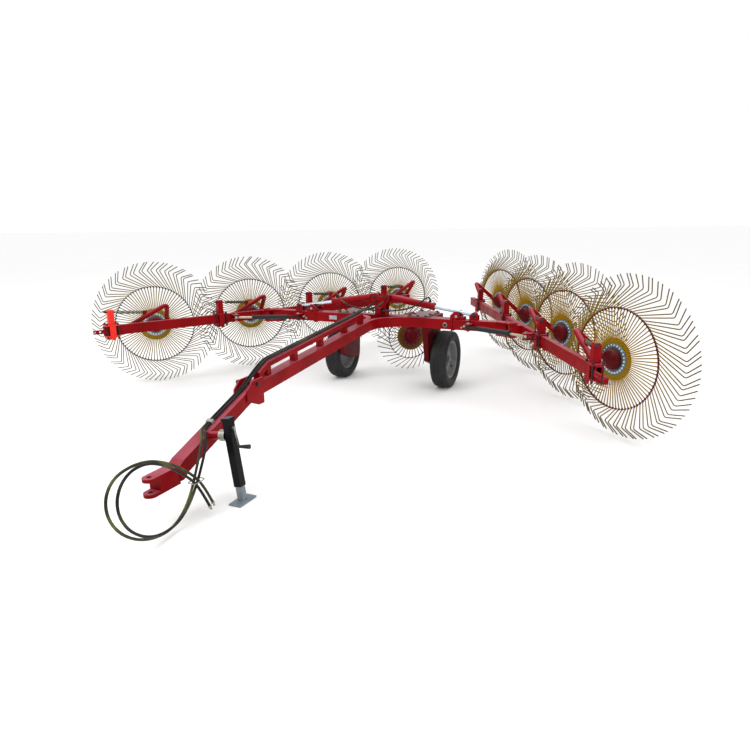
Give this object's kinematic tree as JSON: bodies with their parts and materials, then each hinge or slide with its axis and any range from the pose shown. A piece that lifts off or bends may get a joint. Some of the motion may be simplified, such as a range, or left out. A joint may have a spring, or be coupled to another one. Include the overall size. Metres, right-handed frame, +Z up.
{
  "type": "trailed V finger-wheel hay rake",
  "caption": "Trailed V-shaped hay rake with spoked finger wheels on two folding toolbars, a central kicker wheel, road wheels, hitch clevis and parking jack.",
  "frame": {"origin": "centre of the machine's box in plan, on the ground that the road wheels and the jack stand on (free hoses left out)", "axes": "+X to the right as seen from the hitch end looking back at the machine, -Y forward to the hitch, +Z up"},
  "size_m": [6.1642, 6.9519, 1.4171],
  "materials": {
    "red_paint": "gloss",
    "bright_red_paint": "gloss",
    "black_paint": "satin",
    "finger_wheel": "satin",
    "spring": "satin",
    "chrome_rod": "polished",
    "zinc": "satin",
    "tyre": "matte",
    "rim": "satin",
    "hose_rubber": "matte"
  },
  "bodies": {
    "chassis": {"axle_leg_left": "red_paint", "axle_leg_right": "red_paint", "centre_tower": "red_paint", "cross_tube": "red_paint", "drawbar_clevis": "red_paint", "drawbar_front": "red_paint", "drawbar_hinge": "red_paint", "fold_hinges": "red_paint", "frame_rails": "red_paint", "held_hoses": "hose_rubber", "hose_a": "hose_rubber", "hose_a_fitting": "zinc", "hose_b": "hose_rubber", "hose_b_fitting": "zinc", "hose_clip": "zinc", "hose_tie": "zinc", "jack_mount": "red_paint", "kicker_arm": "red_paint", "leg_top_plates": "red_paint", "truss_chord": "red_paint"},
    "rake_right_1": {"rake_wheel_right_1": "finger_wheel"},
    "rake_right_2": {"rake_wheel_right_2": "finger_wheel"},
    "rake_right_3": {"rake_wheel_right_3": "finger_wheel"},
    "rake_right_4": {"rake_wheel_right_4": "finger_wheel"},
    "road_wheel_right": {"tyre_right": "tyre", "rim_right": "rim"},
    "wing_right": {"wing_beam_right": "red_paint"},
    "arm_right": {"toolbar_right": "red_paint", "spring_posts_right": "bright_red_paint", "carrier_arms_right": "red_paint", "tension_springs_right": "spring", "clamp_bolts_right": "black_paint"},
    "lift_barrel_right": {"lift_barrel_right": "red_paint", "barrel_hose_right": "hose_rubber"},
    "lift_rod_right": {"lift_rod_right": "chrome_rod"},
    "angle_barrel_right": {"angle_barrel_right": "black_paint"},
    "angle_rod_right": {"angle_rod_right": "chrome_rod"},
    "rake_left_1": {"rake_wheel_left_1": "finger_wheel"},
    "rake_left_2": {"rake_wheel_left_2": "finger_wheel"},
    "rake_left_3": {"rake_wheel_left_3": "finger_wheel"},
    "rake_left_4": {"rake_wheel_left_4": "finger_wheel"},
    "road_wheel_left": {"tyre_left": "tyre", "rim_left": "rim"},
    "wing_left": {"wing_beam_left": "red_paint"},
    "arm_left": {"toolbar_left": "red_paint", "spring_posts_left": "bright_red_paint", "carrier_arms_left": "red_paint", "tension_springs_left": "spring", "clamp_bolts_left": "black_paint"},
    "lift_barrel_left": {"lift_barrel_left": "red_paint", "barrel_hose_left": "hose_rubber"},
    "lift_rod_left": {"lift_rod_left": "chrome_rod"},
    "angle_barrel_left": {"angle_barrel_left": "black_paint"},
    "angle_rod_left": {"angle_rod_left": "chrome_rod"},
    "kicker": {"kicker_wheel": "finger_wheel"},
    "jack": {"jack_housing": "black_paint", "jack_crank": "black_paint"},
    "jack_foot": {"jack_leg": "zinc"}
  },
  "joints": [
    {"name": "road_wheel_right_spin", "type": "hinge", "parent": "chassis", "child": "road_wheel_right", "pos_m": [0.64, 0.66551, 0.315], "axis": [1, 0, 0], "continuous": true},
    {"name": "rake_right_1_spin", "type": "hinge", "parent": "arm_right", "child": "rake_right_1", "pos_m": [2.45743, -0.45003, 0.6985], "axis": [-0.6346, -0.7728, 0], "continuous": true},
    {"name": "rake_right_2_spin", "type": "hinge", "parent": "arm_right", "child": "rake_right_2", "pos_m": [1.89428, 0.59715, 0.705], "axis": [-0.6346, -0.7728, 0], "continuous": true},
    {"name": "rake_right_3_spin", "type": "hinge", "parent": "arm_right", "child": "rake_right_3", "pos_m": [1.33114, 1.64433, 0.712], "axis": [-0.6346, -0.7728, 0], "continuous": true},
    {"name": "rake_right_4_spin", "type": "hinge", "parent": "arm_right", "child": "rake_right_4", "pos_m": [0.768, 2.69151, 0.72], "axis": [-0.6346, -0.7728, 0], "continuous": true},
    {"name": "wing_right_fold", "type": "hinge", "parent": "chassis", "child": "wing_right", "pos_m": [0.855, 0.37351, 0.854], "axis": [0, -1, 0], "range_deg": [0, 25]},
    {"name": "arm_right_angle", "type": "hinge", "parent": "wing_right", "child": "arm_right", "pos_m": [1.44266, 0.31794, 0.75], "axis": [0, 0, -1], "range_deg": [0, 28]},
    {"name": "lift_barrel_right_swing", "type": "hinge", "parent": "chassis", "child": "lift_barrel_right", "pos_m": [0.07, 0.37351, 1.018], "axis": [0, -1, 0], "range_deg": [0, 4.26]},
    {"name": "lift_rod_right_slide", "type": "slide", "parent": "lift_barrel_right", "child": "lift_rod_right", "axis": [-0.9881, 0, 0.1541], "range_m": [0, 0.03121]},
    {"name": "angle_barrel_right_swing", "type": "hinge", "parent": "wing_right", "child": "angle_barrel_right", "pos_m": [1, 0.26051, 0.759], "axis": [0, 0, -1], "range_deg": [0, 12.8]},
    {"name": "angle_rod_right_slide", "type": "slide", "parent": "angle_barrel_right", "child": "angle_rod_right", "axis": [-0.9082, 0.4186, 0], "range_m": [0, 0.13589]},
    {"name": "road_wheel_left_spin", "type": "hinge", "parent": "chassis", "child": "road_wheel_left", "pos_m": [-0.64, 0.66551, 0.315], "axis": [1, 0, 0], "continuous": true},
    {"name": "rake_left_1_spin", "type": "hinge", "parent": "arm_left", "child": "rake_left_1", "pos_m": [-2.45743, -0.45003, 0.6985], "axis": [0.6346, -0.7728, 0], "continuous": true},
    {"name": "rake_left_2_spin", "type": "hinge", "parent": "arm_left", "child": "rake_left_2", "pos_m": [-1.89428, 0.59715, 0.705], "axis": [0.6346, -0.7728, 0], "continuous": true},
    {"name": "rake_left_3_spin", "type": "hinge", "parent": "arm_left", "child": "rake_left_3", "pos_m": [-1.33114, 1.64433, 0.712], "axis": [0.6346, -0.7728, 0], "continuous": true},
    {"name": "rake_left_4_spin", "type": "hinge", "parent": "arm_left", "child": "rake_left_4", "pos_m": [-0.768, 2.69151, 0.72], "axis": [0.6346, -0.7728, 0], "continuous": true},
    {"name": "wing_left_fold", "type": "hinge", "parent": "chassis", "child": "wing_left", "pos_m": [-0.855, 0.37351, 0.854], "axis": [0, 1, 0], "range_deg": [0, 25]},
    {"name": "arm_left_angle", "type": "hinge", "parent": "wing_left", "child": "arm_left", "pos_m": [-1.44266, 0.31794, 0.75], "axis": [0, 0, 1], "range_deg": [0, 28]},
    {"name": "lift_barrel_left_swing", "type": "hinge", "parent": "chassis", "child": "lift_barrel_left", "pos_m": [-0.07, 0.37351, 1.018], "axis": [0, 1, 0], "range_deg": [0, 4.26]},
    {"name": "lift_rod_left_slide", "type": "slide", "parent": "lift_barrel_left", "child": "lift_rod_left", "axis": [0.9881, 0, 0.1541], "range_m": [0, 0.03121]},
    {"name": "angle_barrel_left_swing", "type": "hinge", "parent": "wing_left", "child": "angle_barrel_left", "pos_m": [-1, 0.26051, 0.759], "axis": [0, 0, 1], "range_deg": [0, 12.8]},
    {"name": "angle_rod_left_slide", "type": "slide", "parent": "angle_barrel_left", "child": "angle_rod_left", "axis": [0.9082, 0.4186, 0], "range_m": [0, 0.13589]},
    {"name": "kicker_spin", "type": "hinge", "parent": "chassis", "child": "kicker", "pos_m": [0, 1.24551, 0.44], "axis": [0.6691, -0.7431, 0], "continuous": true},
    {"name": "jack_swivel", "type": "hinge", "parent": "chassis", "child": "jack", "pos_m": [0.12, -2.68449, 0.446], "axis": [0.9905, 0, 0.1374], "range_deg": [0, 90]},
    {"name": "jack_foot_slide", "type": "slide", "parent": "jack", "child": "jack_foot", "axis": [-0.1374, 0, 0.9905], "range_m": [0, 0.08]}
  ],
  "couplings": [
    {"joint": "lift_barrel_right_swing", "follows": "wing_right_fold", "ratio": 0.16828},
    {"joint": "lift_rod_right_slide", "follows": "wing_right_fold", "m_per_rad": 0.071079},
    {"joint": "angle_barrel_right_swing", "follows": "arm_right_angle", "ratio": 0.45544},
    {"joint": "angle_rod_right_slide", "follows": "arm_right_angle", "m_per_rad": 0.27766},
    {"joint": "lift_barrel_left_swing", "follows": "wing_left_fold", "ratio": 0.16828},
    {"joint": "lift_rod_left_slide", "follows": "wing_left_fold", "m_per_rad": 0.071079},
    {"joint": "angle_barrel_left_swing", "follows": "arm_left_angle", "ratio": 0.45544},
    {"joint": "angle_rod_left_slide", "follows": "arm_left_angle", "m_per_rad": 0.27766}
  ]
}
